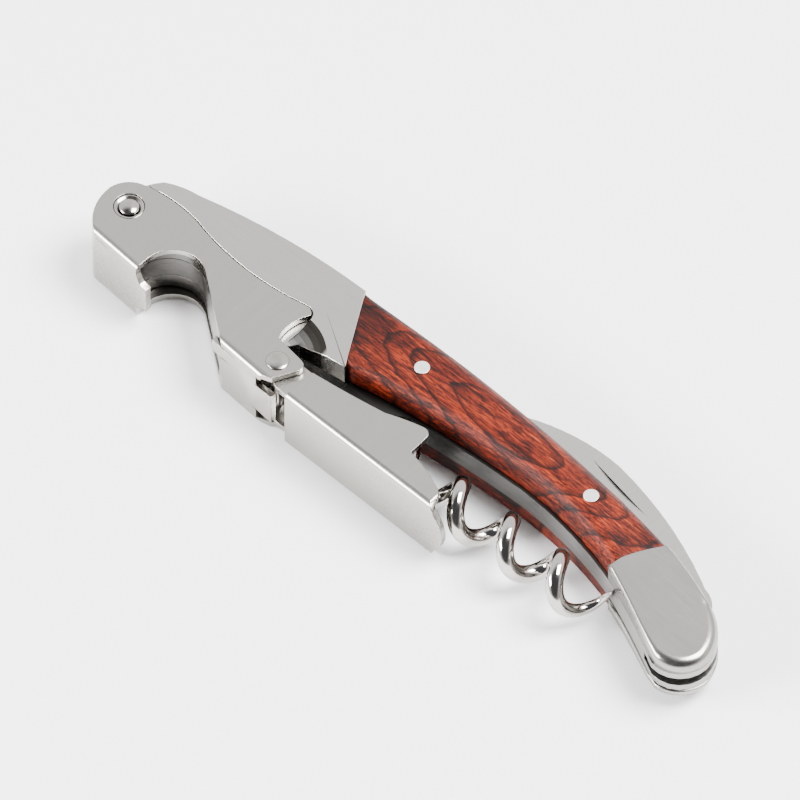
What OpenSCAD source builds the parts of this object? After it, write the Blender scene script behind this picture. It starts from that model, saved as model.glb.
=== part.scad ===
// Waiter's corkscrew: a slim curved handle with a two-stage lever, a worm and a
// foil knife. It lies flat on its side: +X runs from the lever pivot at the head to
// the knife's end, +Y points to the back of the handle, and Z is across the layers.

/* [Lever channels] */
// Outer width of both lever channels across their side plates
lever_w = 11.4; // [11:0.1:12]
// Thickness of the pressed lever sheet
sheet_t = 1.05; // [0.9:0.05:1.2]
// Outer radius of the bends between web and plates
bend_r = 1.1; // [0.6:0.1:1.5]
// Radius of the bottle opener mouth in the upper lever
mouth_r = 4.85; // [4.6:0.05:5]
// Radius of the matching hollow in the handle, which is wider towards the head
hollow_r = 5.6; // [5.4:0.05:5.7]

/* [Handle layers] */
// Thickness of the blade, the back spring and the head spacer
core_t = 1.5; // [1.2:0.1:1.8]
// Thickness of each liner
liner_t = 1.1; // [0.9:0.1:1.3]
// Half the thickness of the handle where the lever plates lie over it
recess_h = 4.5; // [4.3:0.1:4.5]
// Half the thickness of the front bolsters beside the lever
pad_h = 5.65; // [5.5:0.05:5.8]
// Half the thickness of the handle at the crown of the wood
crown_h = 6.05; // [6:0.05:6.3]
// Half the thickness where the wood meets the rear bolsters
joint_h = 5.3; // [5:0.1:5.6]
// Half the thickness at the rear tip
tip_h = 3.95; // [3.6:0.05:4.4]
// Width of the sloping shoulder along each side of the wood
shoulder_w = 2.4; // [1.5:0.1:3]
// Height of that shoulder
shoulder_h = 1.9; // [1:0.1:2.5]
// How far the wood stands back from the liners on the lever side
wood_inset = 0.6; // [0.2:0.1:0.8]

/* [Pins and rivets] */
// Radius of the flush bush that the upper lever turns on
bush_r = 2.25; // [2:0.05:2.5]
// Radius of the domed rivet head at the lever pivot
head_dome_r = 1.55; // [1.3:0.05:1.8]
// Radius of the domed rivet head at the knuckle
knuckle_dome_r = 1.65; // [1.4:0.05:1.9]
// Radius of the rivet shanks
shank_r = 1.1; // [0.9:0.05:1.2]
// Radius of the two pins through the wood
pin_r = 1.15; // [0.9:0.05:1.3]
// Radius of the hidden pins of the worm and the knife
hinge_pin_r = 1.2; // [1:0.05:1.4]
// Radial running clearance of every moving fit
fit = 0.05; // [0.03:0.01:0.08]

/* [Worm] */
// Radius of the worm's wire
wire_r = 1.3; // [1:0.05:1.35]
// Radius of the helix, measured to the middle of the wire
helix_r = 2.85; // [2.6:0.05:3]
// Advance of the helix for each turn
pitch = 9.6; // [9:0.1:9.6]
// Number of turns of the helix
turns = 4.4; // [3:0.1:4.4]
// Slope of the folded worm against the handle
worm_tilt = 1.2; // [0.8:0.1:1.2]

/* [Hidden] */
$fn = 48;

// Outline points below are measured from the lever pivot. This moves the pivot
// so that the origin is under the middle of the whole object, on its rest plane.
pivot_at = [-55.1, -4.17, crown_h];

// Heights of the layers above the mid-plane
core_h = core_t / 2;
liner_h = core_h + liner_t;
lever_h = lever_w / 2;
channel_h = lever_h - sheet_t;
neck_h = channel_h - 0.1;      // outer face of the boot lever's joggled neck
bush_h = lever_h - 0.1;        // the bushes end just below the lever plates

// Hinge centres
knuckle = [34.9, -5.4];
worm_pivot = [46, -3.55];
knife_pivot = [103.8, 5.2];
scale_pin_1 = [50.7, 8];
scale_pin_2 = [84, 8.2];

head_r = 4.6;                  // rounded head of the handle
sweep_edge = 110;              // direction up to which the lever's web sweeps over the bolster
knuckle_r = 2.6;               // rounded end of the boot lever's neck
eye_r = 2.5;                   // flattened eye of the worm
lug_r = 3.1;                   // liner lugs that carry the worm
tang_r = 5.1;                  // heel of the knife around its pivot
past = 12;                     // any length that reaches past the object

// Points of a circular arc from a to b, which bulges by sag to its left; b is left out
function bow(a, b, sag, n = 8) =
    let (l = norm(b - a), u = (b - a) / l, v = [-u.y, u.x],
         r = (l * l / 4 + sag * sag) / (2 * sag), c = (a + b) / 2 + v * (sag - r),
         half = 2 * atan(2 * sag / l))
    [for (i = [0:n - 1]) let (t = -half + 2 * half * i / n) c + r * (v * cos(t) + u * sin(t))];

// ---------- Outlines of the handle ----------

mouth_c = [13.4, -4.85];       // centre of the opener mouth
hollow_c = [12.5, -4.85];      // centre of the handle's hollow behind it
mouth_slope = 36;              // fall of the mouth's long side

// The opener mouth: a round end that opens to the lever side along a slope
module mouth(r) {
    tangent = mouth_c + r * [sin(mouth_slope), cos(mouth_slope)];
    run = past / sin(mouth_slope);
    translate(mouth_c) circle(r);
    polygon([mouth_c - [r, 0], mouth_c - [r, past],
             tangent + run * [cos(mouth_slope), -sin(mouth_slope)], tangent]);
}

// The handle's hollow, of the same shape
module hollow() {
    start = hollow_c - [hollow_r, 0];
    tangent = hollow_c + hollow_r * [sin(mouth_slope), cos(mouth_slope)];
    run = past / sin(mouth_slope);
    polygon(concat(bow(start, tangent, hollow_r * (1 - cos((90 + mouth_slope) / 2)), 24),
                   [tangent, tangent + run * [cos(mouth_slope), -sin(mouth_slope)],
                    start - [0, past]]));
}

rear_joint = [[94.1, 1.8], [97.8, 9.8]];
front_joint = [[42.6, 0.6], [35.2, 12.5]];

// Rounded lug of the liners that carries the worm's pin
lug_points = concat([[50.2, 0.4]],
                    bow(worm_pivot + [lug_r, 0], worm_pivot - [lug_r, 0], lug_r, 12),
                    [worm_pivot - [lug_r, 0]]);

// The handle's outline, with the points of a lug put into its lever side
function handle_points(lug) = concat(
    bow([-3.4, 3.1], [5.8, 8.47], 1.15),           // back of the head
    bow([5.8, 8.47], [35.2, 12.6], 0.95),
    bow([35.2, 12.6], [82, 12.3], 1.2),
    bow([82, 12.3], [108.9, 6.9], 0.75),
    bow([108.9, 6.9], [114.75, 0], 1.3, 6),        // rear tip
    bow([114.75, 0], [108.8, -5.3], 1.95, 6),
    bow([108.8, -5.3], [94.8, 0.94], -0.2),        // lever side
    bow([94.8, 0.94], [74, 4.15], -0.8),
    bow([74, 4.15], [50.6, 2.05], -0.3),
    lug,
    bow([43, 0.62], [31.9, -1.2], -0.12, 4),
    [[30.8, -4.8], [29.4, -6.4], [24, -6.4], [7.6, -5.3], [1, -4.6]],
    bow([0, -head_r], [-3.4, 3.1], 2.75, 12));     // round of the head

module handle_outline(lug = []) {
    difference() {
        polygon(handle_points(lug));
        hollow();
    }
}

// The part of a plane on the tip's side of a line, or on the head's side
module tip_side(line) {
    polygon([line[0] - [0, past], line[0], line[1], line[1] + [0, past],
             [past * past, past * 3], [past * past, -past * 3]]);
}

module head_side(line) {
    polygon([line[0] - [0, past], line[0], line[1], line[1] + [0, past],
             [-past, past * 3], [-past, -past * 3]]);
}

module hole(at, r) {
    translate(at) circle(r);
}

// ---------- Handle ----------

// Puts the children between two heights, above the mid-plane or mirrored below it
module layer(low, high, below = false) {
    mirror([0, 0, below ? 1 : 0])
        translate([0, 0, low]) linear_extrude(high - low) children();
}

module liner(below) {
    layer(core_h, liner_h, below)
        difference() {
            handle_outline(lug_points);
            hole([0, 0], shank_r);
            hole(worm_pivot, hinge_pin_r);
            hole(knife_pivot, hinge_pin_r);
            hole(scale_pin_1, pin_r);
            hole(scale_pin_2, pin_r);
        }
}

module liner_upper() {
    color("silver") liner(false);
}

module liner_lower() {
    color("silver") liner(true);
}

spring_start = 32.5;           // where the head spacer ends and the back spring starts

module head_spacer() {
    color("darkgray") layer(-core_h, core_h)
        difference() {
            intersection() {
                handle_outline();
                translate([-past, -past]) square([past + spring_start, 3 * past]);
            }
            hole([0, 0], shank_r);
        }
}

spring_w = 2.5;                // width of the back spring along the lever side
spring_end = 106.2;            // where the back spring ends under the knife's heel
spring_root = 57;              // end of the wide root that the front pin holds

module back_spring() {
    color("darkgray") layer(-core_h, core_h)
        difference() {
            intersection() {
                handle_outline();
                translate([spring_start, -past])
                    square([spring_end - spring_start, 3 * past]);
            }
            // The blade's room: all of the outline that lies a spring's width inside
            intersection() {
                translate([-0.6, spring_w]) handle_outline();
                translate([spring_root, -past]) square(3 * past * [2, 1]);
            }
            hole(knife_pivot, tang_r + 0.8);
            hole(scale_pin_1, pin_r);
        }
}

// Ground in the front bolsters that the lever plates lie in, clear of the tooth's sweep
ground_end = 33;               // where the flat ground ends in the first notch
ramp_c = [32.3, -6.2, 33.57];  // centre of the round hollow that runs out of the notch
ramp_r = 29.5;

module lever_ground() {
    polygon(concat([[ground_end, -past], [-past, -past], [-past, past],
                    past * [cos(sweep_edge), sin(sweep_edge)], [-1.75, 5.35]],
                   bow([0.6, 4.87], [9, 4.92], 0.37),
                   bow([9, 4.92], [31, 4.88], -1.35, 10),
                   bow([31, 4.88], [32.85, 3.6], 0.42, 5),
                   [[32.85, 3.6], [ground_end, 2]]));
}

// Slope by which the raised face runs down to the head, at the end that the web sweeps past
slope_turn = 30;               // direction in which it rises
slope_from = 1.2;              // where it starts along that direction
slope_lean = 24;

module head_slope() {
    intersection() {
        rotate([0, 0, slope_turn]) translate([slope_from, 0, recess_h])
            rotate([0, -slope_lean, 0]) translate([-past, -past, 0]) cube(past * [2, 2, 2]);
        translate([-past, 0, recess_h]) cube(past * [2, 1, 2]);
    }
}

module notch_ramp() {
    intersection() {
        translate(ramp_c) sphere(ramp_r, $fn = 120);
        translate([ground_end - 0.1, -past, recess_h]) cube(past * [1, 2, 2]);
    }
}

module front_bolster(below) {
    difference() {
        union() {
            layer(liner_h, recess_h, below) intersection() {
                handle_outline();
                head_side(front_joint);
            }
            layer(recess_h, pad_h, below) difference() {
                intersection() {
                    handle_outline();
                    head_side(front_joint);
                }
                lever_ground();
            }
        }
        mirror([0, 0, below ? 1 : 0]) {
            notch_ramp();
            head_slope();
        }
        layer(0, past, below) hole([0, 0], shank_r);
    }
}

module front_bolster_upper() {
    color("gainsboro") front_bolster(false);
}

module front_bolster_lower() {
    color("gainsboro") front_bolster(true);
}

// Side view of the handle's outer face behind the front joint
module side_profile() {
    translate([0, past * 2, 0]) rotate([90, 0, 0]) linear_extrude(past * 4)
        polygon(concat([[30, 0], [30, pad_h]],
                       bow([35, pad_h], [55, crown_h], 0.05, 4),
                       [[70, crown_h]],
                       bow([76, crown_h - 0.03], [96, joint_h], 0.12, 4),
                       [[115, tip_h], [116, 0]]));
}

// A ring along the handle's curve whose section is flat with sloping shoulders
crown_c = [62.6, -158];
crown_r = 166.7;

module wood_crown() {
    half = 5.2;
    flat = half - shoulder_w;
    translate(crown_c) rotate([0, 0, 60]) rotate_extrude(angle = 60)
        polygon([[crown_r - half, 0], [crown_r - half, crown_h - shoulder_h],
                 [crown_r - flat, crown_h], [crown_r + flat, crown_h],
                 [crown_r + half, crown_h - shoulder_h], [crown_r + half, 0]]);
}

module wood_scale(below) {
    mirror([0, 0, below ? 1 : 0]) difference() {
        intersection() {
            layer(liner_h, past) intersection() {
                handle_outline();
                translate([0, wood_inset]) handle_outline();
                tip_side(front_joint);
                head_side(rear_joint);
            }
            side_profile();
            wood_crown();
        }
        layer(0, past) hole(scale_pin_1, pin_r);
        layer(0, past) hole(scale_pin_2, pin_r);
    }
}

module scale_upper() {
    color("firebrick") wood_scale(false);
}

module scale_lower() {
    color("firebrick") wood_scale(true);
}

module rear_bolster(below) {
    mirror([0, 0, below ? 1 : 0]) difference() {
        intersection() {
            layer(liner_h, past) intersection() {
                handle_outline();
                tip_side(rear_joint);
            }
            side_profile();
        }
        layer(0, liner_h + 1) hole(knife_pivot, hinge_pin_r);
    }
}

module rear_bolster_upper() {
    color("gainsboro") rear_bolster(false);
}

module rear_bolster_lower() {
    color("gainsboro") rear_bolster(true);
}

module pin(at, r, half) {
    layer(-half, half) hole(at, r);
}

module scale_pin_front() {
    color("white") pin(scale_pin_1, pin_r, crown_h - 0.05);
}

module scale_pin_rear() {
    color("white") pin(scale_pin_2, pin_r, crown_h - 0.2);
}

module worm_pivot_pin() {
    color("white") pin(worm_pivot, hinge_pin_r, liner_h + 0.4);
}

module knife_pivot_pin() {
    color("white") pin(knife_pivot, hinge_pin_r, liner_h + 0.9);
}

// A low dome: the cap of a sphere with the given rim radius and height
module dome(r, h) {
    ball = (r * r + h * h) / (2 * h);
    intersection() {
        translate([0, 0, h - ball]) sphere(ball);
        cylinder(r = r + 1, h = h);
    }
}

module rivet(at, dome_r, seat_h) {
    translate(at) {
        layer(-seat_h, seat_h) circle(shank_r);
        for (below = [false, true])
            mirror([0, 0, below ? 1 : 0])
                translate([0, 0, seat_h]) dome(dome_r, crown_h - seat_h);
    }
}

module head_pivot_rivet() {
    color("white") rivet([0, 0], head_dome_r, bush_h);
}

module head_bushes() {
    color("silver") for (below = [false, true])
        layer(recess_h, bush_h, below) difference() {
            circle(bush_r);
            circle(shank_r);
        }
}

// ---------- Levers ----------

web_start = [-0.1, -6.95];     // outer corner of the upper lever's web at the head
web_tilt = 3.6;                // the upper lever's web opens by this much from X
web_end = 37.3;                // end of its middle tongue, past the knuckle
slot_d = 1.8;                  // height of the slots above and below that tongue
slot_x = knuckle.x - 0.8;      // start of the slots that the boot lever's neck turns in

function web_y(x) = web_start.y - (x - web_start.x) * tan(web_tilt);

upper_points = concat(
    bow([-1.6, 4.15], [-4.4, 0.6], -0.62),
    bow([-4.4, 0.6], web_start, -1.25, 10),
    [web_start, [slot_x, web_y(slot_x)], [36.5, -8.2]],
    bow([38, -5], [36.6, -3.1], -1.1, 5),
    bow([32.05, -2.25], [32.6, 3.9], 0.72),
    bow([32.6, 3.9], [30.9, 4.7], -0.3, 4),
    bow([30.9, 4.7], [9, 4.75], 1.35, 10),
    bow([9, 4.75], [-1.6, 4.15], -0.6));

// Cut edge of the web at the mouth, seen square to the web: a tongue with hollow corners
lip_x = mouth_c.x - mouth_r;
tongue_h = channel_h - 0.1;
tongue_points = concat(
    [[-1, tongue_h]],
    bow([lip_x, tongue_h], [10.1, 2.3], -0.35, 6),
    [[10.7, 2.4], [10.7, -2.4]],
    bow([10.1, -2.3], [lip_x, -tongue_h], -0.35, 6),
    [[lip_x, -tongue_h], [-1, -tongue_h]]);

// Cuts both bends of a channel round, along a web that starts at a point
module bend_cut(at, tilt, length) {
    for (below = [0, 1])
        mirror([0, 0, below]) translate([at.x, at.y, lever_h])
            rotate([0, 0, -tilt]) translate([-past, 0, 0]) rotate([90, 0, 90])
                linear_extrude(length + 2 * past) difference() {
                    translate([-1, -bend_r]) square(bend_r + 1);
                    translate([bend_r, -bend_r]) circle(bend_r);
                }
}

// Part of the upper lever's web between two distances along it
module web_slab(from, to) {
    polygon([[from, web_y(from)], [to, web_y(to)],
             [to, web_y(to) + sheet_t], [from, web_y(from) + sheet_t]]);
}

module upper_lever() {
    color("lightgray") union() {
        difference() {
            layer(-lever_h, lever_h) polygon(upper_points);
            bend_cut(web_start, web_tilt, web_end);
            // Inside of the channel
            layer(-channel_h, channel_h)
                polygon([[-past, web_y(-past) + sheet_t], [5 * past, web_y(5 * past) + sheet_t],
                         [5 * past, past], [-past, past]]);
            layer(-past, past) mouth(mouth_r);
            // Slots for the boot lever's neck
            for (below = [false, true])
                layer(channel_h - slot_d, channel_h, below)
                    translate([slot_x, -past]) square([past, past - 6]);
            layer(-past, past) circle(bush_r + fit);
            layer(-past, past) hole(knuckle, shank_r);
        }
        // Middle of the web: a tongue at the mouth, and one past the knuckle
        intersection() {
            layer(-tongue_h, tongue_h) web_slab(7, past);
            rotate([90, 0, 0]) linear_extrude(past) polygon(tongue_points);
        }
        layer(-channel_h + slot_d, channel_h - slot_d) web_slab(slot_x - 1, web_end);
        // Tooth that hooks under a bottle cap
        layer(channel_h - 2.4, channel_h - 0.1) web_slab(24.8, 29);
    }
}

module knuckle_rivet() {
    color("white") rivet(knuckle, knuckle_dome_r, lever_h);
}

boot_y = -9.2;                 // outer face of the boot lever's web
boot_x = 39.9;                 // start of its web and full-width plates
boot_end = 69.3;               // end of its plates; the web's tongue goes further
boot_round_r = 6.5;            // radius of the plates' ends, seen square to the web
boot_tongue_r = 6.1;           // radius of the web's tongue
boot_round_x = boot_end + 2.1 - boot_round_r; // centre of both

boot_points = concat(
    [[boot_x, boot_y], [boot_x, -3.4]],
    bow([boot_x, -3.4], [52.5, -1.4], -0.12, 5),
    bow([52.5, -1.4], [58.2, 0.55], 0.12, 5),
    bow([58.2, 0.55], [59.9, -0.75], 0.55, 5),
    [[60.05, -3.95]],
    bow([60.05, -3.95], [66.6, -5.7], 0.2, 5),
    bow([66.6, -5.7], [68.7, -8.4], 0.6, 5),
    [[boot_end, boot_y]]);

module boot_neck() {
    difference() {
        union() {
            hole(knuckle, knuckle_r);
            polygon([knuckle + [0, knuckle_r], [boot_x + sheet_t, -2.9],
                     [boot_x + sheet_t, boot_y + sheet_t], [boot_x, boot_y + sheet_t - 0.1],
                     [knuckle.x + 2.6, -8.35], knuckle + [1.2, -2.4]]);
        }
        hole(knuckle, shank_r + fit);
    }
}

module boot_lever() {
    color("lightgray") {
        difference() {
            union() {
                layer(-lever_h, lever_h) polygon(boot_points);
                // Rounded tongue at the end of the web
                intersection() {
                    layer(-lever_h, lever_h)
                        translate([boot_end - 3, boot_y]) square([past, sheet_t]);
                    translate([boot_round_x, 0, 0]) rotate([90, 0, 0])
                        linear_extrude(past) circle(boot_tongue_r);
                }
            }
            // Round corners of the plates' ends
            translate([boot_round_x, 0, 0]) rotate([90, 0, 0]) linear_extrude(past)
                difference() {
                    translate([0, -past]) square([past, 2 * past]);
                    circle(boot_round_r);
                }
            layer(-channel_h, channel_h)
                translate([0, boot_y + sheet_t]) square([8 * past, past]);
            bend_cut([boot_x, boot_y], 0, boot_end);
        }
        for (below = [false, true]) {
            layer(neck_h - sheet_t, neck_h, below) boot_neck();
            layer(neck_h - sheet_t, channel_h + sheet_t / 2, below)
                translate([boot_x, boot_y + sheet_t / 2])
                    square([sheet_t, -3.4 - boot_y - sheet_t / 2]);
        }
    }
}

// ---------- Worm ----------

shank_l = 8;                   // straight shank from the pivot to the start of the helix
lead_turns = 0.6;              // part of the helix in which it leaves the axis
ring_n = 18;                   // rings for each turn
side_n = 8;                    // sides of the swept wire
worm_phase = -113;             // angle at which the helix starts
taper_turns = 0.75;            // part of the last turn that is ground to a point

function helix_grow(t) = min(1, t / lead_turns);
function tip_part(t) = min(1, (turns - t) / taper_turns);
function coil_r(t) = helix_r * sin(90 * helix_grow(t));
function coil_at(t) = [shank_l + pitch * t,
                       coil_r(t) * cos(worm_phase + 360 * t),
                       coil_r(t) * sin(worm_phase + 360 * t)];
function wire_at(t) = wire_r * (0.14 + 0.86 * sin(90 * tip_part(t)));

// Ring of points around the wire, square to its path
function ring_at(t) =
    let (p = coil_at(t), d = coil_at(t + 0.01) - coil_at(t - 0.01), u = d / norm(d),
         v0 = cross(u, [0, 0, 1]), v = v0 / norm(v0), w = cross(u, v))
    [for (i = [0:side_n - 1]) let (a = 360 * i / side_n)
        p + wire_at(t) * (v * cos(a) + w * sin(a))];

module coil() {
    n = round(turns * ring_n);
    rings = [for (i = [0:n]) ring_at(turns * i / n)];
    points = [for (ring = rings) each ring];
    sides = [for (i = [0:n - 1], k = [0:side_n - 1])
        let (k2 = (k + 1) % side_n, a = i * side_n, b = a + side_n)
        each [[a + k, b + k2, a + k2], [a + k, b + k, b + k2]]];
    ends = [[for (k = [0:side_n - 1]) k], [for (k = [side_n - 1:-1:0]) n * side_n + k]];
    polyhedron(points, concat(sides, ends));
}

module worm() {
    color("white") translate(worm_pivot) rotate([0, 0, worm_tilt]) {
        difference() {
            union() {
                layer(-core_h + 0.1, core_h - 0.1) {
                    circle(eye_r);
                    translate([0, -wire_r]) square([eye_r + 1.5, 2 * wire_r]);
                }
                translate([eye_r + 0.8, 0, 0]) rotate([0, 90, 0])
                    cylinder(r = wire_r, h = shank_l - eye_r - 0.8);
            }
            layer(-past, past) circle(hinge_pin_r + fit);
        }
        translate([-0.3, 0, 0]) coil();
    }
}

// ---------- Knife ----------

blade_points = concat(
    bow(knife_pivot + [2.6, 4.1], [80.5, 17.7], -1.3),
    bow([80.5, 17.7], [64.5, 14.7], -1.0),
    bow([64.5, 14.7], [62, 12.2], -0.5, 4),
    bow([62, 12.2], [92, 10.2], 0.6),
    [[97.5, 7.4]],
    [knife_pivot + [-3.6, -3.4]]);

blade_h = core_h - 0.08;       // half the thickness of the blade, clear of the liners
nick_at = [83.25, 14.9];       // middle of the nail nick's straight edge
nick_turn = -9;                // its direction
nick_lean = 60;                // lean of the cut
nick_r = 59;                   // radius of the cut, which gives the nick its length
nick_d = 0.35;                 // depth of the cut along its lean

module foil_knife() {
    color("gainsboro") difference() {
        layer(-blade_h, blade_h) difference() {
            union() {
                polygon(blade_points);
                hole(knife_pivot, tang_r);
            }
            hole(knife_pivot, hinge_pin_r + fit);
        }
        // Nail nick along the spine
        translate([nick_at.x, nick_at.y, blade_h]) rotate([nick_lean, 0, nick_turn])
            translate([0, nick_r - nick_d, 0]) cylinder(r = nick_r, h = 2, $fn = 360);
    }
}

// ---------- Assembly ----------

translate(pivot_at) {
    liner_upper();
    liner_lower();
    head_spacer();
    back_spring();
    front_bolster_upper();
    front_bolster_lower();
    scale_upper();
    scale_lower();
    rear_bolster_upper();
    rear_bolster_lower();
    scale_pin_front();
    scale_pin_rear();
    head_pivot_rivet();
    head_bushes();
    worm_pivot_pin();
    knife_pivot_pin();
    upper_lever();
    knuckle_rivet();
    boot_lever();
    worm();
    foil_knife();
}
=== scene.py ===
"""Looks of the waiter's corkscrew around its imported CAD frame, in metres."""

import math

import bmesh
import bpy
import numpy as np
from mathutils import Matrix, Vector


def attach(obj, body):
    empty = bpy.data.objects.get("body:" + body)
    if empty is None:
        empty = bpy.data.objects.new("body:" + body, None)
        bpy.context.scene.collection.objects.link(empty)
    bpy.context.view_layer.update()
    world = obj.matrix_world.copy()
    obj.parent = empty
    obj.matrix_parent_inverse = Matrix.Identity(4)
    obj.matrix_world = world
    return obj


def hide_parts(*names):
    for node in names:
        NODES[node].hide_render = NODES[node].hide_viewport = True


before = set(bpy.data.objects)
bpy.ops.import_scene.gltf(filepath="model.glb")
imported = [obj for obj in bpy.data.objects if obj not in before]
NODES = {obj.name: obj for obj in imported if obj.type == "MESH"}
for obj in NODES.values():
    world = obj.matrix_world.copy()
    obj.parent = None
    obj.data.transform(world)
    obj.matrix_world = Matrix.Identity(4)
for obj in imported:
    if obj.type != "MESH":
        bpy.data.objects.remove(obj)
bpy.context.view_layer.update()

MM = 0.001

# The frame's own places, measured from the lever pivot, in millimetres
PIVOT = Vector((-55.1, -4.17, 6.05))
LINER_H = 1.85
PAD_H = 5.65
CROWN_H = 6.05
JOINT_H = 5.3
TIP_H = 3.95
WOOD_INSET = 0.6
LOWER_INSET = 0.25
PIN_STAND = 0.05
RECESS_H, BUSH_H, LEVER_H = 4.5, 5.6, 5.7
KNUCKLE = (34.9, -5.4)
RAMP = (34, 0.3)
FRONT_JOINT = ((42.6, 0.6), (35.2, 12.5))
REAR_JOINT = ((94.1, 1.8), (97.8, 9.8))
JOINT_BULGE = 0.45
WORM_PIVOT = (46.0, -3.55)
HOLLOW = (12.5, -4.85)
WORM_TILT = math.radians(1.2)


# ---------- Outlines ----------

def bow(a, b, sag, n=8):
    """Points of a circular arc from a to b that bulges by sag to its left; b is left out."""
    a, b = Vector(a), Vector(b)
    length = (b - a).length
    u = (b - a) / length
    v = Vector((-u.y, u.x))
    r = (length * length / 4 + sag * sag) / (2 * sag)
    c = (a + b) / 2 + v * (sag - r)
    half = 2 * math.atan(2 * sag / length)
    turns = [-half + 2 * half * i / n for i in range(n)]
    return [c + r * (v * math.cos(t) + u * math.sin(t)) for t in turns]


BACK_SIDE = (bow((35.2, 12.6), (82, 12.3), 1.2, 24) + bow((82, 12.3), (108.9, 6.9), 0.75, 14)
             + [Vector((108.9, 6.9))])
LEVER_SIDE = (bow((43, 0.62), (50.6, 2.05), 0.05, 6) + bow((50.6, 2.05), (74, 4.15), 0.3, 14)
              + bow((74, 4.15), (94.8, 0.94), 0.8, 16) + bow((94.8, 0.94), (108.8, -5.3), 0.2, 10)
              + [Vector((108.8, -5.3))])


def y_on(line, x):
    """y at x on a chain of points that runs along x."""
    return float(np.interp(x, [p.x for p in line], [p.y for p in line]))


def x_on_joint(joint, y):
    """x on a joint of the wood at y; the rear joint bulges a little towards the head."""
    (xa, ya), (xb, yb) = joint
    t = (y - ya) / (yb - ya)
    bulge = JOINT_BULGE * 4 * t * (1 - t) if joint is REAR_JOINT and 0 < t < 1 else 0
    return xa + (xb - xa) * t - bulge


def crown_height(x):
    """Half thickness of the handle along the crown of the wood."""
    return float(np.interp(x, [35, 45, 55, 70, 76, 86, 96, 115],
                           [PAD_H, 5.9, CROWN_H, CROWN_H, 6.02, 5.78, JOINT_H, TIP_H]))


# ---------- Mesh helpers ----------

def add_object(name, verts, faces, smooth=True):
    """A mesh object from points in the outline frame, in millimetres, with faces turned outwards."""
    mesh = bpy.data.meshes.new(name)
    mesh.from_pydata([(Vector(p) + PIVOT) * MM for p in verts], [], faces)
    bm = bmesh.new()
    bm.from_mesh(mesh)
    bmesh.ops.remove_doubles(bm, verts=bm.verts, dist=1e-7)
    bmesh.ops.recalc_face_normals(bm, faces=bm.faces)
    bm.to_mesh(mesh)
    bm.free()
    for poly in mesh.polygons:
        poly.use_smooth = smooth
    obj = bpy.data.objects.new(name, mesh)
    bpy.context.scene.collection.objects.link(obj)
    return obj


def place(obj, body, *nodes, material, slot=None):
    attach(obj, body)
    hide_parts(*nodes)
    obj.data.materials.clear()
    obj.data.materials.append(material)
    return obj


def round_edges(obj, width, segments=3, angle=35, weld=False):
    """Rounds the sharp edges of an object with modifiers, and keeps its flat faces flat."""
    if weld:
        m = obj.modifiers.new("weld", "WELD")
        m.merge_threshold = 2e-6
        m = obj.modifiers.new("planes", "DECIMATE")
        m.decimate_type = "DISSOLVE"
        m.angle_limit = math.radians(0.6)
    m = obj.modifiers.new("edges", "BEVEL")
    m.width = width * MM
    m.segments = segments
    m.limit_method = "ANGLE"
    m.angle_limit = math.radians(angle)
    m.use_clamp_overlap = False
    m = obj.modifiers.new("normals", "WEIGHTED_NORMAL")
    m.weight = 50
    m.keep_sharp = False


# ---------- Materials ----------

def node_material(name):
    mat = bpy.data.materials.new(name)
    mat.use_nodes = True
    tree = mat.node_tree
    return mat, tree, tree.nodes["Principled BSDF"]


def add_node(tree, kind, inputs=None, **settings):
    node = tree.nodes.new(kind)
    for key, value in settings.items():
        setattr(node, key, value)
    for key, value in (inputs or {}).items():
        node.inputs[key].default_value = value
    return node


def object_space(tree, scale, turn=(0, 0, 0), at=(0, 0, 0)):
    """Object coordinates, measured from a place, scaled and turned, as a vector socket."""
    coord = add_node(tree, "ShaderNodeTexCoord")
    shift = Matrix.Rotation(turn[2], 3, "Z") @ Vector([-a * b for a, b in zip(scale, at)])
    mapping = add_node(tree, "ShaderNodeMapping", {"Rotation": turn, "Scale": scale, "Location": shift})
    tree.links.new(coord.outputs["Object"], mapping.inputs["Vector"])
    return mapping.outputs["Vector"]


def ramp(tree, socket, stops):
    node = add_node(tree, "ShaderNodeValToRGB")
    elements = node.color_ramp.elements
    while len(elements) < len(stops):
        elements.new(0.5)
    for element, (at, colour) in zip(elements, stops):
        element.position = at
        element.color = (*colour, 1)
    tree.links.new(socket, node.inputs["Fac"])
    return node.outputs["Color"]


def span(tree, socket, low, high):
    node = add_node(tree, "ShaderNodeMapRange", {"To Min": low, "To Max": high})
    tree.links.new(socket, node.inputs["Value"])
    return node.outputs["Result"]


def steel(name, colour, rough, streak, vary, rough_vary=0.06):
    """Brushed or satin steel: fine streaks along one direction, and faint cloudy wear."""
    mat, tree, bsdf = node_material(name)
    lines = add_node(tree, "ShaderNodeTexNoise", {"Scale": 1.0, "Detail": 3.0, "Roughness": 0.6})
    tree.links.new(object_space(tree, streak), lines.inputs["Vector"])
    cloud = add_node(tree, "ShaderNodeTexNoise", {"Scale": 1.0, "Detail": 2.0})
    tree.links.new(object_space(tree, (90, 90, 90)), cloud.inputs["Vector"])
    dark = tuple(c * (1 - vary) for c in colour)
    light = tuple(min(1, c * (1 + vary)) for c in colour)
    tone = ramp(tree, lines.outputs["Fac"], [(0.3, dark), (0.7, light)])
    tree.links.new(tone, bsdf.inputs["Base Color"])
    both = add_node(tree, "ShaderNodeMath", operation="ADD")
    tree.links.new(lines.outputs["Fac"], both.inputs[0])
    tree.links.new(cloud.outputs["Fac"], both.inputs[1])
    level = add_node(tree, "ShaderNodeMapRange", {"From Min": 0.7, "From Max": 1.3,
                                                 "To Min": rough - rough_vary,
                                                 "To Max": rough + rough_vary})
    tree.links.new(both.outputs["Value"], level.inputs["Value"])
    tree.links.new(level.outputs["Result"], bsdf.inputs["Roughness"])
    bsdf.inputs["Metallic"].default_value = 1.0
    return mat


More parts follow.
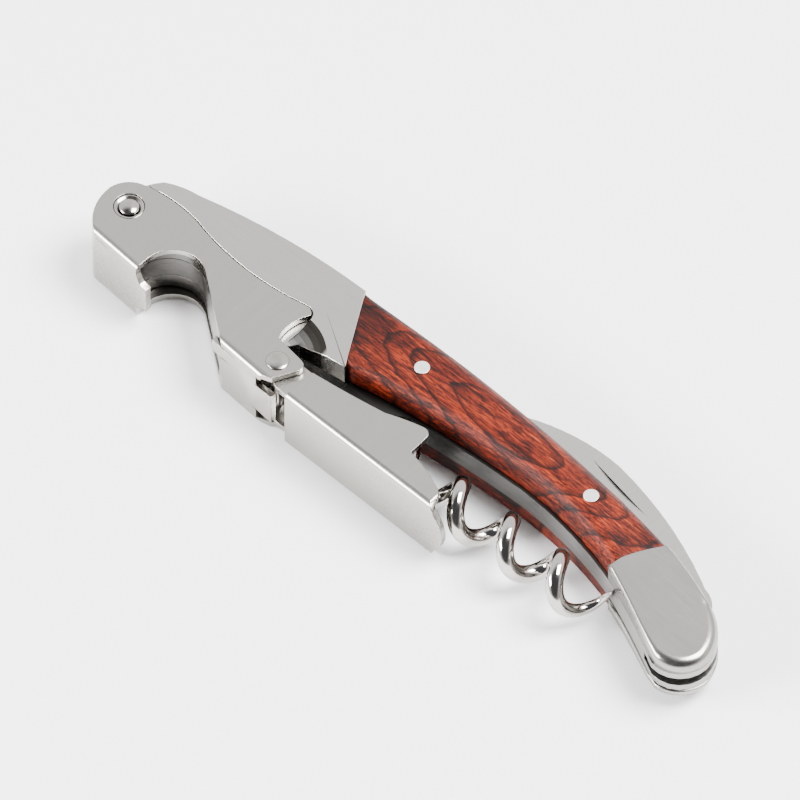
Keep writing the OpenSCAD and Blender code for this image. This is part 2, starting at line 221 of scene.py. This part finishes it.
def multiply(tree, colour, by, factor):
    """A colour darkened by another one, as far as a factor socket says."""
    mix = add_node(tree, "ShaderNodeMix", data_type="RGBA", blend_type="MULTIPLY")
    mix.inputs["B"].default_value = (*by, 1)
    tree.links.new(factor, mix.inputs["Factor"])
    tree.links.new(colour, mix.inputs["A"])
    return mix.outputs["Result"]


def axis_value(tree, vector, axis):
    parts = add_node(tree, "ShaderNodeSeparateXYZ")
    tree.links.new(vector, parts.inputs["Vector"])
    return parts.outputs[axis]


def wood_material():
    """Red pakkawood: fine dark pores on orange-red, with nested dark growth loops."""
    mat, tree, bsdf = node_material("pakkawood")
    links = tree.links
    grain_turn = (0, 0, 0.05)

    def noise(scale, detail, rough, distortion=0.0, turn=grain_turn):
        node = add_node(tree, "ShaderNodeTexNoise", {"Scale": 1.0, "Detail": detail, "Roughness": rough,
                                                    "Distortion": distortion})
        links.new(object_space(tree, scale, turn), node.inputs["Vector"])
        return node

    # Growth loops: long ellipses around one centre, bent by noise
    bend = noise((70, 190, 130), 2.5, 0.55)
    amount = add_node(tree, "ShaderNodeVectorMath", {"Scale": 0.34}, operation="SCALE")
    links.new(bend.outputs["Color"], amount.inputs["Vector"])
    bent = add_node(tree, "ShaderNodeVectorMath", operation="ADD")
    links.new(object_space(tree, (43, 165, 0), (0, 0, 0.03), (0.0111, 0.0048, 0)), bent.inputs[0])
    links.new(amount.outputs["Vector"], bent.inputs[1])
    centred = add_node(tree, "ShaderNodeVectorMath", {1: (0.17, 0.17, 0.17)}, operation="SUBTRACT")
    links.new(bent.outputs["Vector"], centred.inputs[0])
    reach = add_node(tree, "ShaderNodeVectorMath", operation="LENGTH")
    links.new(centred.outputs["Vector"], reach.inputs[0])
    far = add_node(tree, "ShaderNodeMapRange", {"From Max": 1.6})
    links.new(reach.outputs["Value"], far.inputs["Value"])
    none, some, full = (0, 0, 0), (0.2, 0.2, 0.2), (1, 1, 1)
    loops = ramp(tree, far.outputs["Result"], [(0.0, none), (0.24, some), (0.29, full), (0.302, none),
                                               (0.46, some), (0.5, full), (0.512, none), (0.59, some),
                                               (0.62, full), (0.632, none), (0.77, some), (0.8, full),
                                               (0.815, none)])
    # Cloudy dark patches, then fibres and pores along the grain
    cloud = noise((110, 420, 300), 3.0, 0.6)
    fibres = noise((260, 3000, 3000), 4.0, 0.65, 0.3)
    pores = noise((560, 4300, 4300), 3.0, 0.7, 0.5)
    base = ramp(tree, fibres.outputs["Fac"],
                [(0.3, (0.026, 0.0020, 0.0010)), (0.43, (0.092, 0.0072, 0.0014)),
                 (0.56, (0.180, 0.0170, 0.0029)), (0.72, (0.330, 0.0430, 0.0078))])
    flecks = noise((150, 1500, 1100), 3.5, 0.7, 0.8)
    streaks = ramp(tree, flecks.outputs["Fac"], [(0.40, full), (0.47, none)])
    dashes = ramp(tree, pores.outputs["Fac"], [(0.43, full), (0.5, none)])
    patches = ramp(tree, cloud.outputs["Fac"], [(0.36, full), (0.56, none)])
    tone = multiply(tree, base, (0.42, 0.30, 0.30), span(tree, patches, 0.0, 0.85))
    tone = multiply(tree, tone, (0.16, 0.10, 0.10), span(tree, dashes, 0.0, 0.9))
    tone = multiply(tree, tone, (0.14, 0.12, 0.14), span(tree, streaks, 0.0, 0.8))
    tone = multiply(tree, tone, (0.05, 0.05, 0.07), span(tree, loops, 0.0, 0.95))
    # The front part of the scales is darker
    along = axis_value(tree, object_space(tree, (1 / 0.02, 1, 1), at=(-0.02, 0, 0)), "X")
    tone = multiply(tree, tone, (0.30, 0.28, 0.32), ramp(tree, along, [(0.2, full), (0.6, none)]))
    links.new(tone, bsdf.inputs["Base Color"])
    links.new(span(tree, pores.outputs["Fac"], 0.62, 0.46), bsdf.inputs["Roughness"])
    relief = add_node(tree, "ShaderNodeBump", {"Strength": 0.1, "Distance": 0.0002}, invert=True)
    links.new(dashes, relief.inputs["Height"])
    links.new(relief.outputs["Normal"], bsdf.inputs["Normal"])
    bsdf.inputs["Specular IOR Level"].default_value = 0.16
    return mat


ALONG, ACROSS, FINE = (110, 1700, 1700), (1500, 110, 1500), (900, 900, 900)
SATIN = steel("satin_steel", (0.375, 0.36, 0.332), 0.26, ACROSS, 0.015, 0.02)
BOLSTER = steel("bolster_satin", (0.445, 0.43, 0.403), 0.26, ALONG, 0.015, 0.02)
# The tip steel is the bolster steel given a darker colour: painted shade that offsets the key lamp its
# sloping face reflects
TIP = steel("tip_satin", (0.29, 0.280, 0.262), 0.26, ALONG, 0.015, 0.02)
LINER = steel("liner_brushed", (0.40, 0.388, 0.365), 0.34, (70, 2600, 2600), 0.05)
BLADE = steel("blade_satin", (0.46, 0.45, 0.425), 0.27, (1800, 90, 1800), 0.015, 0.02)
CHROME = steel("polished_steel", (0.46, 0.44, 0.41), 0.10, (500, 500, 500), 0.03, 0.03)
RIVET = steel("rivet_steel", (0.40, 0.38, 0.35), 0.16, FINE, 0.12, 0.05)
PIN = steel("pin_satin", (0.76, 0.76, 0.75), 0.45, FINE, 0.02)
WOOD = wood_material()


def darken(mat, by, factor):
    """Multiplies a material's base colour by another colour, as far as a factor socket says."""
    tree = mat.node_tree
    base = tree.nodes["Principled BSDF"].inputs["Base Color"]
    tree.links.new(multiply(tree, base.links[0].from_socket, by, factor), base)


def product(tree, a, b):
    node = add_node(tree, "ShaderNodeMath", operation="MULTIPLY")
    tree.links.new(a, node.inputs[0])
    tree.links.new(b, node.inputs[1])
    return node.outputs["Value"]


def distance_from(tree, place, radius):
    """Distance in plan from a place of the outline frame, in radii, and the offset itself."""
    offset = object_space(tree, (1 / (radius * MM), 1 / (radius * MM), 0),
                          at=(Vector((*place, 0)) + PIVOT) * MM)
    reach = add_node(tree, "ShaderNodeVectorMath", operation="LENGTH")
    tree.links.new(offset, reach.inputs[0])
    return reach.outputs["Value"], offset


def grey(*stops):
    return [(at, (value, value, value)) for at, value in stops]


# Painted shade in the crevices between the steel parts: the base colour is darkened where ambient occlusion
# finds near surfaces
for mat in (SATIN, BOLSTER, TIP, RIVET, LINER, BLADE):
    tree = mat.node_tree
    painted_nook_shade = add_node(tree, "ShaderNodeAmbientOcclusion", {"Distance": 0.0007}, samples=8)
    darken(mat, (0.1, 0.095, 0.09), ramp(tree, painted_nook_shade.outputs["AO"], grey((0.2, 1), (0.6, 0.4), (0.93, 0))))

# Painted shade: the steep wall of the nail nick, the only leaning face of the blade, is darkened in its
# colour
tree = BLADE.node_tree
lean = axis_value(tree, add_node(tree, "ShaderNodeNewGeometry").outputs["True Normal"], "Z")
darken(BLADE, (0.03, 0.03, 0.03), ramp(tree, lean, grey((0.3, 0), (0.42, 1), (0.6, 1), (0.66, 0))))

# Painted shade: the liners are darker along the handle, where the scales shade them, than at its two ends
tree = LINER.node_tree
along = axis_value(tree, object_space(tree, (1 / 0.12, 1, 1), at=(-0.06, 0, 0)), "X")
darken(LINER, (0.06, 0.06, 0.06), ramp(tree, along, grey((0.32, 0), (0.38, 1), (0.80, 0.8), (0.86, 0.3))))

# Painted shade: the wall of the hollow behind the opener mouth is darkened on the head's side
for mat in (BOLSTER, LINER):
    tree = mat.node_tree
    reach, offset = distance_from(tree, HOLLOW, 5.7)
    fade = add_node(tree, "ShaderNodeMapRange", {"From Min": -1.0, "From Max": 1.0,
                                                "To Min": 1.0, "To Max": 0.35})
    tree.links.new(axis_value(tree, offset, "X"), fade.inputs["Value"])
    inside = ramp(tree, reach, grey((0.99, 1), (1.0, 0)))
    darken(mat, (0.16, 0.16, 0.16), product(tree, inside, fade.outputs["Result"]))

# Painted shade: the ground step under the first notch is darkened on its leaning faces
tree = BOLSTER.node_tree
near = ramp(tree, distance_from(tree, RAMP, 5)[0], grey((0.85, 1), (1.0, 0)))
lean = axis_value(tree, add_node(tree, "ShaderNodeNewGeometry").outputs["True Normal"], "Z")
level = add_node(tree, "ShaderNodeMath", operation="ABSOLUTE")
tree.links.new(lean, level.inputs[0])
leaning = ramp(tree, level.outputs["Value"], grey((0.96, 1), (0.998, 0)))
darken(BOLSTER, (0.08, 0.075, 0.07), product(tree, near, leaning))


# ---------- Carried-over CAD nodes ----------

for node, material, width in (
        ("liner_upper", LINER, 0.03), ("liner_lower", LINER, 0.03),
        ("head_spacer", LINER, 0.03), ("back_spring", LINER, 0.03),
        ("front_bolster_upper", BOLSTER, 0.16), ("front_bolster_lower", BOLSTER, 0.16),
        ("scale_pin_front", PIN, 0.08), ("scale_pin_rear", PIN, 0.08),
        ("worm_pivot_pin", CHROME, 0.08), ("knife_pivot_pin", CHROME, 0.08),
        ("upper_lever", SATIN, 0.06), ("boot_lever", SATIN, 0.1), ("foil_knife", BLADE, 0.06)):
    obj = NODES[node]
    obj.data.materials.clear()
    obj.data.materials.append(material)
    round_edges(obj, width, weld=True)


# ---------- Wood scales ----------

def wood_scale(name, below):
    """One scale: a loft along the handle whose section is a flat crown with round shoulders."""
    rows, arc_n, top_n = 96, 9, 8
    side = -1 if below else 1
    verts = []
    for i in range(rows + 1):
        s = i / rows
        x_low = FRONT_JOINT[0][0] + (REAR_JOINT[0][0] - FRONT_JOINT[0][0]) * s
        y_low = y_on(LEVER_SIDE, x_low) + (LOWER_INSET if below else WOOD_INSET)
        x_high = FRONT_JOINT[1][0] + (REAR_JOINT[1][0] - FRONT_JOINT[1][0]) * s
        y_high = y_on(BACK_SIDE, x_high)
        low, high = Vector((x_low, y_low)), Vector((x_high, y_high))
        for joint, near in ((FRONT_JOINT, 1 - s), (REAR_JOINT, s)):
            if near > 0.999:
                low.x = x_on_joint(joint, low.y)
                high.x = x_on_joint(joint, high.y)
        across = high - low
        width = across.length
        swell = math.sin(math.pi * s) ** 0.6
        r_in, r_down = (1.0 + 0.5 * swell,) * 2 if below else (1.5 + 2.2 * swell, 1.3 + 2.4 * swell)
        section = []
        for k in range(arc_n + 1):
            a = math.pi / 2 * k / arc_n
            section.append((r_in * (1 - math.cos(a)), -r_down * (1 - math.sin(a))))
        inner = [(r_in + (width - 2 * r_in) * k / top_n, 0) for k in range(1, top_n)]
        section += inner + [(width - d, z) for d, z in reversed(section)]
        ring = [(low, LINER_H)]
        for d, z in section:
            p = low + across * (d / width)
            if s > 0.8:
                straight = REAR_JOINT[0][0] + (p.y - REAR_JOINT[0][1]) * (
                    REAR_JOINT[1][0] - REAR_JOINT[0][0]) / (REAR_JOINT[1][1] - REAR_JOINT[0][1])
                p.x -= (straight - x_on_joint(REAR_JOINT, p.y)) * ((s - 0.8) / 0.2) ** 2
            top = crown_height(p.x) - PIN_STAND + z + 0.02 * swell * math.sin(math.pi * d / width)
            ring.append((p, min(top, CROWN_H - 0.001)))
        ring.append((high, LINER_H))
        verts += [(p.x, p.y, side * z) for p, z in ring]
    n = len(verts) // (rows + 1)
    faces = [[i * n + k, i * n + (k + 1) % n, (i + 1) * n + (k + 1) % n, (i + 1) * n + k]
             for i in range(rows) for k in range(n)]
    faces += [list(range(n)), [rows * n + k for k in range(n)]]
    return add_object(name, verts, faces)


for name, below in (("wood_scale_upper", False), ("wood_scale_lower", True)):
    piece = wood_scale(name, below)
    place(piece, "handle", "scale_lower" if below else "scale_upper", material=WOOD, slot="scale_wood")
    round_edges(piece, 0.12, angle=50)


# ---------- Rear bolsters ----------

def rear_bolster(name, below):
    """The steel tip: a block with a sloping face and well rounded rims, straight at the joint."""
    tip = bow((108.9, 6.9), (114.75, 0), 1.3, 12) + bow((114.75, 0), (108.8, -5.3), 1.95, 12)
    back = [p for p in BACK_SIDE if REAR_JOINT[1][0] < p.x < 108.8]
    front = [p for p in LEVER_SIDE if REAR_JOINT[0][0] < p.x < 108.75]
    outline = [Vector((REAR_JOINT[0][0], y_on(LEVER_SIDE, REAR_JOINT[0][0])))] + front
    outline += list(reversed(tip)) + [Vector((108.9, 6.9))] + list(reversed(back))
    outline.append(Vector((REAR_JOINT[1][0], y_on(BACK_SIDE, REAR_JOINT[1][0]))))
    for k in range(1, 10):
        y = REAR_JOINT[1][1] + (REAR_JOINT[0][1] - REAR_JOINT[1][1]) * k / 10
        outline.append(Vector((x_on_joint(REAR_JOINT, y), y)))
    side = -1 if below else 1
    slope = (JOINT_H - TIP_H) / (115 - 96)
    n, arc_n = len(outline), 7

    def rim_of(i):
        """Radius of the rim over the outline's edge that starts at point i."""
        a, b = outline[i], outline[(i + 1) % n]
        if all(abs(p.x - x_on_joint(REAR_JOINT, p.y)) < 0.05 for p in (a, b)):
            return 0.08
        return 0.5 + 1.0 * min(1, max(0, (min(a.x, b.x) - 104) / 7))

    def inset_of(i):
        """How far point i moves inwards for each rim's full width, and its rim radius."""
        before, here, after = outline[i - 1], outline[i], outline[(i + 1) % n]
        u0, u1 = (here - before).normalized(), (after - here).normalized()
        n0, n1 = Vector((-u0.y, u0.x)), Vector((-u1.y, u1.x))
        d0, d1 = rim_of(i - 1), rim_of(i)
        turn = u0.x * u1.y - u0.y * u1.x
        if abs(turn) > 0.3:
            return (u1 * d0 - u0 * d1) / turn, max(d0, d1)
        return (n0 + n1).normalized() * (d0 + d1) / 2, (d0 + d1) / 2

    insets = [inset_of(i) for i in range(n)]
    rings = [[(p.x, p.y, side * LINER_H) for p in outline]]
    for k in range(arc_n + 1):
        a = math.pi / 2 * k / arc_n
        ring = []
        for p, (move, r) in zip(outline, insets):
            q = p + move * (1 - math.cos(a))
            ring.append((q.x, q.y, side * (JOINT_H - slope * (q.x - 96) - r * (1 - math.sin(a)))))
        rings.append(ring)
    faces = [list(range(n)), [(arc_n + 1) * n + k for k in range(n)]]
    faces += [[j * n + k, j * n + (k + 1) % n, (j + 1) * n + (k + 1) % n, (j + 1) * n + k]
              for j in range(arc_n + 1) for k in range(n)]
    obj = add_object(name, [p for ring in rings for p in ring], faces)
    m = obj.modifiers.new("normals", "WEIGHTED_NORMAL")
    m.weight, m.keep_sharp = 50, False
    return obj


for name, below in (("steel_tip_upper", False), ("steel_tip_lower", True)):
    piece = rear_bolster(name, below)
    place(piece, "handle", "rear_bolster_lower" if below else "rear_bolster_upper",
          material=TIP, slot="bolster_steel")


# ---------- Rivets and bushes ----------

def lathe(name, at, *profiles, n=72):
    """Turned parts around one upright axis, each from a closed profile of (radius, height) points."""
    verts, faces = [], []
    for profile in profiles:
        start, m = len(verts), len(profile)
        for k in range(n):
            a = 2 * math.pi * k / n
            verts += [(at[0] + r * math.cos(a), at[1] + r * math.sin(a), z) for r, z in profile]
        faces += [[start + k * m + i, start + k * m + (i + 1) % m, start + (k + 1) % n * m + (i + 1) % m,
                   start + (k + 1) % n * m + i] for k in range(n) for i in range(m)]
    obj = add_object(name, verts, faces)
    bm = bmesh.new()
    bm.from_mesh(obj.data)
    bmesh.ops.dissolve_degenerate(bm, dist=1e-7, edges=bm.edges)
    bmesh.ops.recalc_face_normals(bm, faces=bm.faces)
    bm.to_mesh(obj.data)
    bm.free()
    return obj


def head_profile(rim_r, seat_h, shank_r=1.1, rim_h=0.1, top=CROWN_H - 0.001):
    """Half section of a rivet: a shank between two heads with short rims and low domes."""
    crown = [(rim_r * math.sin(a), seat_h + rim_h + (top - seat_h - rim_h) *
              (math.cos(a) - math.cos(1.15)) / (1 - math.cos(1.15)) if i < 10 else seat_h + rim_h)
             for i, a in ((i, 1.15 * i / 10) for i in range(11))]
    crown = [(r / math.sin(1.15), z) for r, z in crown]
    upper = crown + [(rim_r, seat_h), (shank_r, seat_h)]
    return upper + [(r, -z) for r, z in reversed(upper)]


def bush_profile(low, high, side):
    """Section of a flush bush: round outer edge, flat ring, and a shallow groove around the rivet."""
    edge = [(2.25 - 0.14 * (1 - math.cos(a)), high - 0.14 * (1 - math.sin(a)))
            for a in (math.pi / 2 * i / 4 for i in range(5))]
    inner = [(1.9, high), (1.8, high - 0.14), (1.1, high - 0.14), (1.1, low)]
    return [(r, side * z) for r, z in [(2.25, low)] + edge + inner]


piece = lathe("head_rivet", (0, 0), head_profile(1.5, BUSH_H - 0.139))
place(piece, "handle", "head_pivot_rivet", material=RIVET, slot="polished_steel")
piece = lathe("head_bush_pair", (0, 0), bush_profile(RECESS_H, BUSH_H, 1), bush_profile(RECESS_H, BUSH_H, -1))
place(piece, "handle", "head_bushes", material=RIVET, slot="polished_steel")
piece = lathe("knuckle_rivet_turned", KNUCKLE, head_profile(1.65, LEVER_H + 0.001))
place(piece, "upper_lever", "knuckle_rivet", material=RIVET, slot="polished_steel")


# ---------- Worm ----------

def worm():
    """The worm as one swept wire: a thin neck from the eye, a straight shank, the helix and its ground point.
    """
    wire_r, helix_r, pitch, turns = 1.3, 2.85, 9.6, 4.4
    shank_l, lead_turns, phase, taper = 8.0, 0.6, math.radians(-113), 0.75
    rings, sides = 48, 28

    def coil_at(t):
        r = helix_r * math.sin(math.pi / 2 * min(1, t / lead_turns))
        a = phase + 2 * math.pi * t
        return Vector((shank_l - 0.3 + pitch * t, r * math.cos(a), r * math.sin(a)))

    def wire_at(t):
        return wire_r * (0.14 + 0.86 * math.sin(math.pi / 2 * min(1, (turns - t) / taper)))

    path = [(Vector((x, 0, 0)), r) for x, r in ((2.0, 0.6), (3.5, 0.6), (4.6, 0.95), (5.6, wire_r),
                                                (6.5, wire_r))]
    path += [(coil_at(turns * i / round(turns * rings)), wire_at(turns * i / round(turns * rings)))
             for i in range(round(turns * rings) + 1)]
    verts, v_last = [], None
    for i, (p, r) in enumerate(path):
        before, after = path[max(0, i - 1)][0], path[min(len(path) - 1, i + 1)][0]
        u = (after - before).normalized()
        v = (Vector((0, 0, 1)) if v_last is None else v_last)
        v = (v - u * v.dot(u)).normalized()
        w = u.cross(v)
        v_last = v
        verts += [p + r * (v * math.cos(2 * math.pi * k / sides) + w * math.sin(2 * math.pi * k / sides))
                  for k in range(sides)]
    rows = len(path)
    tip = path[-1][0] + (path[-1][0] - path[-2][0]).normalized() * 0.12
    verts.append(tip)
    faces = [[i * sides + k, i * sides + (k + 1) % sides, (i + 1) * sides + (k + 1) % sides,
              (i + 1) * sides + k] for i in range(rows - 1) for k in range(sides)]
    faces.append(list(range(sides)))
    faces += [[(rows - 1) * sides + k, (rows - 1) * sides + (k + 1) % sides, rows * sides]
              for k in range(sides)]
    spin = Matrix.Rotation(WORM_TILT, 3, "Z")
    shift = Vector((*WORM_PIVOT, 0))
    return add_object("worm_wire", [shift + spin @ p for p in verts], faces)


def worm_eye():
    """Flat ring at the root of the worm, with a bored hole; the short neck into the wire is swept with the
    wire.
    """
    half, ring_r, bore_r, n = 0.65, 2.5, 1.25, 48
    outer = [Vector((ring_r * math.cos(2 * math.pi * k / n), ring_r * math.sin(2 * math.pi * k / n)))
             for k in range(n)]
    inner = [p * (bore_r / ring_r) for p in outer]
    verts = [(p.x, p.y, z) for z in (-half, half) for p in outer]
    verts += [(p.x, p.y, z) for z in (-half, half) for p in inner]
    faces = []
    for k in range(n):
        j = (k + 1) % n
        faces += [[k, j, n + j, n + k], [2 * n + k, 2 * n + j, 3 * n + j, 3 * n + k],
                  [k, j, 2 * n + j, 2 * n + k], [n + k, n + j, 3 * n + j, 3 * n + k]]
    shift = Vector((*WORM_PIVOT, 0))
    return add_object("worm_eye", [shift + Vector(p) for p in verts], faces)


worm_wire = worm()
place(worm_wire, "worm", "worm", material=CHROME, slot="polished_steel")
eye = worm_eye()
place(eye, "worm", "worm", material=CHROME, slot="polished_steel")
round_edges(eye, 0.15)


# ---------- Stage ----------

def plain_material(name, colour, rough):
    mat, tree, bsdf = node_material(name)
    bsdf.inputs["Base Color"].default_value = (*colour, 1)
    bsdf.inputs["Roughness"].default_value = rough
    return mat


def area_light(name, at, size, power):
    """A rectangular light at a place, turned to the origin."""
    light = bpy.data.lights.new(name, "AREA")
    light.shape, light.size, light.size_y = "RECTANGLE", size[0], size[1]
    light.energy = power
    obj = bpy.data.objects.new(name, light)
    bpy.context.scene.collection.objects.link(obj)
    obj.location = at
    obj.rotation_euler = (-Vector(at)).to_track_quat("-Z", "Y").to_euler()


half = 1.5
floor_mesh = bpy.data.meshes.new("floor")
floor_mesh.from_pydata([(-half, -half, 0), (half, -half, 0), (half, half, 0), (-half, half, 0)], [],
                       [(0, 1, 2, 3)])
floor = bpy.data.objects.new("floor", floor_mesh)
bpy.context.scene.collection.objects.link(floor)
floor_mesh.materials.append(plain_material("pale_floor", (0.93, 0.925, 0.93), 0.9))

# Studio surround: bright all around, and dark on the camera's side
AZIMUTH, ELEVATION, DISTANCE, VIEW_WIDTH = math.radians(44), math.radians(52.3), 5.0, 0.1143
TO_CAMERA = Vector((math.sin(AZIMUTH) * math.cos(ELEVATION), -math.cos(AZIMUTH) * math.cos(ELEVATION),
                    math.sin(ELEVATION)))
world = bpy.data.worlds.new("studio")
bpy.context.scene.world = world
world.use_nodes = True
surround = world.node_tree
towards = add_node(surround, "ShaderNodeVectorMath", {1: TO_CAMERA}, operation="DOT_PRODUCT")
surround.links.new(add_node(surround, "ShaderNodeTexCoord").outputs["Generated"], towards.inputs[0])
glow = ramp(surround, towards.outputs["Value"], [(0.0, (1, 1, 1)), (0.35, (0.97, 0.98, 1)),
                                                 (0.55, (0.45, 0.45, 0.47)), (0.72, (0.06, 0.06, 0.065))])
background = surround.nodes["Background"]
surround.links.new(glow, background.inputs["Color"])
background.inputs["Strength"].default_value = 1.9

area_light("key", (0.30, 0.32, 0.80), (0.5, 0.5), 34)
area_light("front_strip", (-0.36, -0.62, 0.38), (0.5, 0.22), 20)

# ---------- Camera ----------

TARGET = Vector((-0.0027, -0.00247, 0.01175))
camera_data = bpy.data.cameras.new("camera")
camera_data.sensor_width = 36
camera_data.lens = camera_data.sensor_width * DISTANCE / VIEW_WIDTH
camera_data.clip_start, camera_data.clip_end = 0.5, 20
camera = bpy.data.objects.new("camera", camera_data)
bpy.context.scene.collection.objects.link(camera)
camera.location = TARGET + TO_CAMERA * DISTANCE
camera.rotation_mode = "QUATERNION"
camera.rotation_quaternion = (-TO_CAMERA).to_track_quat("-Z", "Y")
bpy.context.scene.camera = camera
